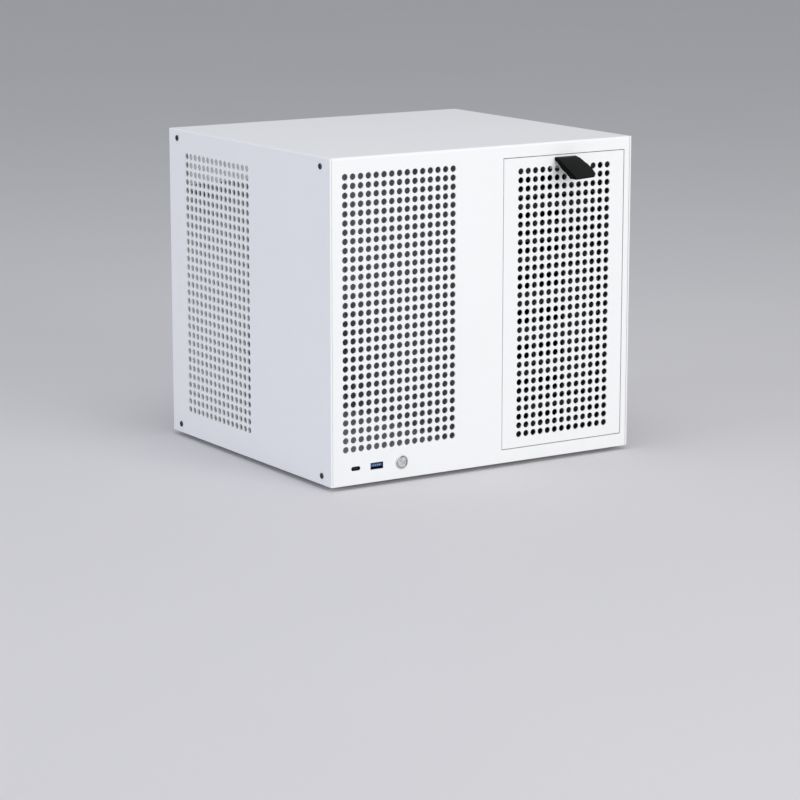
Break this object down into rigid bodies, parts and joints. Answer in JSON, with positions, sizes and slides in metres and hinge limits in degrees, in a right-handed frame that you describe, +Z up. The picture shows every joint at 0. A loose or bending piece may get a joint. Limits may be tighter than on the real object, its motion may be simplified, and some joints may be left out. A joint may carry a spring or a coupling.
{
  "type": "nas case",
  "caption": "White sheet-metal NAS case with perforated front and side, a tilting drive door with a pull tab, drive trays, rear fans, front ports and a push-button.",
  "frame": {"origin": "on the floor, at the middle of the box that holds the case and its pull tab", "axes": "front faces -Y, +X to the right seen from the front, +Z up"},
  "size_m": [0.337, 0.334, 0.304],
  "materials": {
    "white_coat": "fine satin powder coat",
    "inner_coat": "grey powder coat",
    "black_screw": "black oxide",
    "foot_rubber": "matt moulded rubber",
    "tab_leather": "black grained strap",
    "tray_plastic": "fine spark-eroded texture",
    "board_green": "solder mask",
    "socket_black": "moulded",
    "bare_steel": "zinc plated",
    "port_nickel": "black nickel plated",
    "port_blue": "moulded",
    "button_steel": "turned and lightly brushed",
    "fan_plastic": "moulded"
  },
  "bodies": {
    "chassis": {"front_panel": "white_coat", "top_panel": "white_coat", "base_panel": "white_coat", "rear_panel": "white_coat", "left_side_panel": "white_coat", "right_side_panel": "white_coat", "board_partition": "inner_coat", "cage_wall": "inner_coat", "supply_shelf": "inner_coat", "port_bracket": "inner_coat", "left_side_screws": "black_screw", "right_side_screws": "black_screw", "fan_screws": "black_screw", "feet": "foot_rubber", "drive_tray_1": "tray_plastic", "drive_tray_2": "tray_plastic", "drive_tray_3": "tray_plastic", "drive_tray_4": "tray_plastic", "drive_tray_5": "tray_plastic", "drive_tray_6": "tray_plastic", "drive_tray_7": "tray_plastic", "drive_tray_8": "tray_plastic", "backplane": "board_green", "port_board": "board_green", "drive_sockets": "socket_black", "backplane_headers": "socket_black", "usb_c_tongue": "socket_black", "usb_c_riser": "socket_black", "usb_a_shell": "port_nickel", "usb_c_shell": "port_nickel", "strike_plates": "bare_steel", "pivot_pins": "bare_steel", "button_nut": "bare_steel", "standoffs": "bare_steel", "slot_cover_1": "bare_steel", "slot_cover_2": "bare_steel", "slot_cover_3": "bare_steel", "slot_cover_4": "bare_steel", "usb_a_tongue": "port_blue", "button_body": "button_steel", "lower_fan_frame": "fan_plastic", "upper_fan_frame": "fan_plastic"},
    "door": {"door_panel": "white_coat", "pull_tab": "tab_leather", "tab_clamp": "bare_steel", "door_magnets": "bare_steel"},
    "power_button": {"button_cap": "button_steel"},
    "lower_rotor": {"lower_fan_rotor": "fan_plastic"},
    "upper_rotor": {"upper_fan_rotor": "fan_plastic"}
  },
  "joints": [
    {"name": "door_tilt", "type": "hinge", "parent": "chassis", "child": "door", "pos_m": [0.08985, -0.1316, 0.022], "axis": [1, 0, 0], "range_deg": [0, 80]},
    {"name": "power_press", "type": "slide", "parent": "chassis", "child": "power_button", "axis": [0, 1, 0], "range_m": [0, 0.0015], "stiffness_N_per_m": 1200},
    {"name": "lower_fan_spin", "type": "hinge", "parent": "chassis", "child": "lower_rotor", "pos_m": [0.09365, 0.15, 0.093], "axis": [0, 1, 0], "continuous": true},
    {"name": "upper_fan_spin", "type": "hinge", "parent": "chassis", "child": "upper_rotor", "pos_m": [0.09365, 0.15, 0.215], "axis": [0, 1, 0], "continuous": true}
  ]
}
